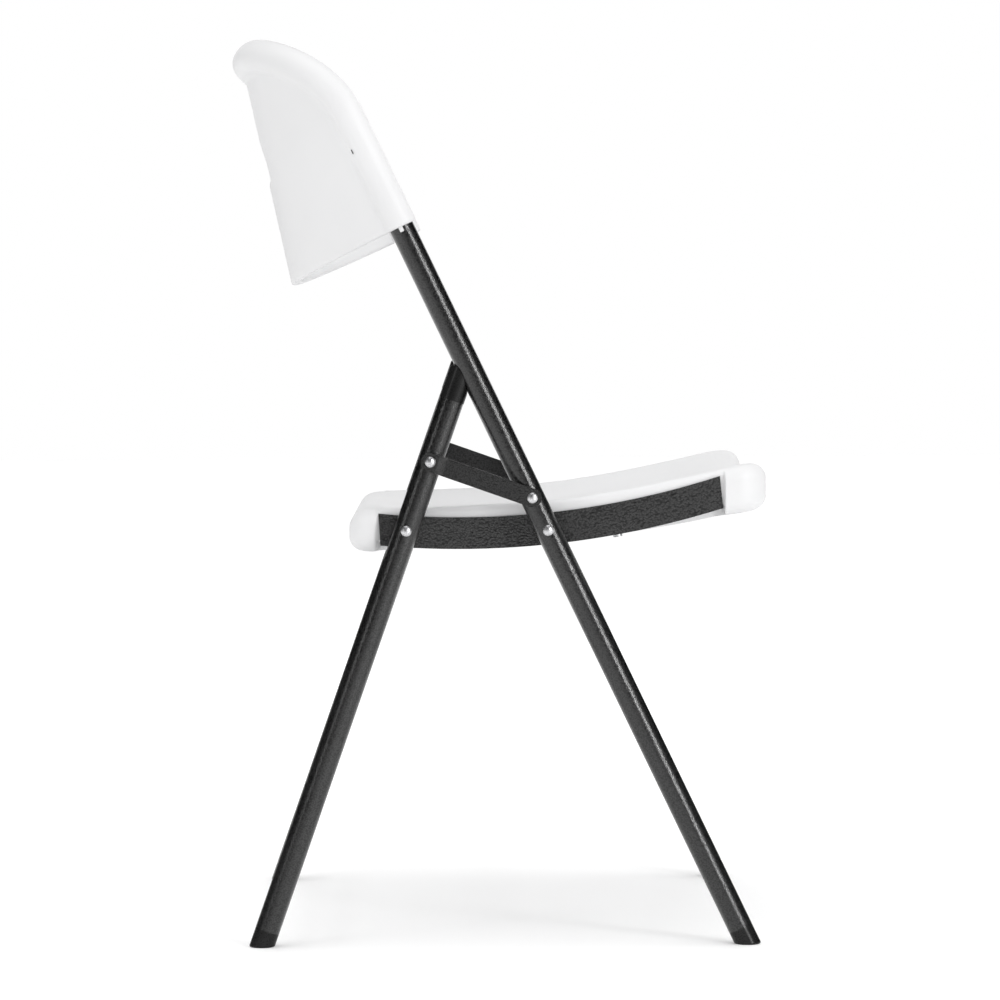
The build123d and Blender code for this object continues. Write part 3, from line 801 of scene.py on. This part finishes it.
def add_light(name, place, target, width, height, power, diffuse=True):
    """A soft area light that the camera doesn't see."""
    data = bpy.data.lights.new(name, "AREA")
    data.shape = "RECTANGLE"
    data.size, data.size_y = width, height
    data.energy = power
    light = bpy.data.objects.new(name, data)
    light.location = place
    light.rotation_euler = (Vector(target) - Vector(place)).to_track_quat("-Z", "Y").to_euler()
    light.visible_camera = False
    light.visible_diffuse = diffuse
    bpy.context.scene.collection.objects.link(light)


def add_lights():
    middle = (cad_low + cad_high) / 2
    target = Vector((0, middle.y, middle.z))
    front = target + light_distance * front_light
    rear = target + light_distance * rear_light
    card_x, card_z = card_place
    add_light("front_softbox", front, target, 0.24, 1.6, 20)
    add_light("rear_softbox", rear, target, 0.20, 1.6, 7.5)
    add_light("front_strip", front, target, 0.14, 2.4, 72, False)
    add_light("top_softbox", target + top_light, target, 1.6, 1.6, 18)
    add_light("far_card", (card_x, middle.y, card_z), (0, middle.y, card_aim), 3.6, 1.5, 17)
    world = bpy.data.worlds.new("studio")
    bpy.context.scene.world = world
    world.use_nodes = True
    background = world.node_tree.nodes["Background"]
    background.inputs["Color"].default_value = (1, 1, 1, 1)
    background.inputs["Strength"].default_value = 1.0
    world.cycles_visibility.glossy = False


def add_floor():
    """Plain pale floor that glows evenly, except close to the chair, where a lower glow paints the shade under it.
    """
    half = 12.0
    tone_scale, glow_reach = 2.0, 2.0
    painted_shade_glow, far_glow = (0.10, 0.11), (0.55, 0.27)       # share of glow_reach, and glow
    made, tree, shader = material("studio_floor")
    place = object_place(tree)
    tone = noise(tree, place, tone_scale, 2.0)
    tree.links.new(ramp(tree, tone.outputs["Fac"], [(0.3, 0.80), (0.7, 0.82)]), shader.inputs["Base Color"])
    reach = tree.nodes.new("ShaderNodeVectorMath")
    reach.operation = "LENGTH"
    tree.links.new(place, reach.inputs[0])
    share = math_node(tree, "MULTIPLY", reach.outputs["Value"], 1 / glow_reach)
    # painted shade: the glow is lower close to the chair and stands for the chair's shadow on the floor
    tree.links.new(ramp(tree, share, [painted_shade_glow, far_glow]), shader.inputs["Emission Color"])
    shader.inputs["Emission Strength"].default_value = 1.0
    shader.inputs["Roughness"].default_value = 0.8
    shader.inputs["Specular IOR Level"].default_value = 0.1
    mesh = bpy.data.meshes.new("floor")
    mesh.from_pydata([(-half, -half, 0), (half, -half, 0), (half, half, 0), (-half, half, 0)], [],
                     [(0, 1, 2, 3)])
    mesh.materials.append(made)
    floor = bpy.data.objects.new("floor", mesh)
    bpy.context.scene.collection.objects.link(floor)


paint_nodes()
back_shell()
vent_slits()
sleeve_tabs()
seat_shell()
add_camera()
add_lights()
add_floor()
bpy.context.scene.view_settings.view_transform = "Standard"
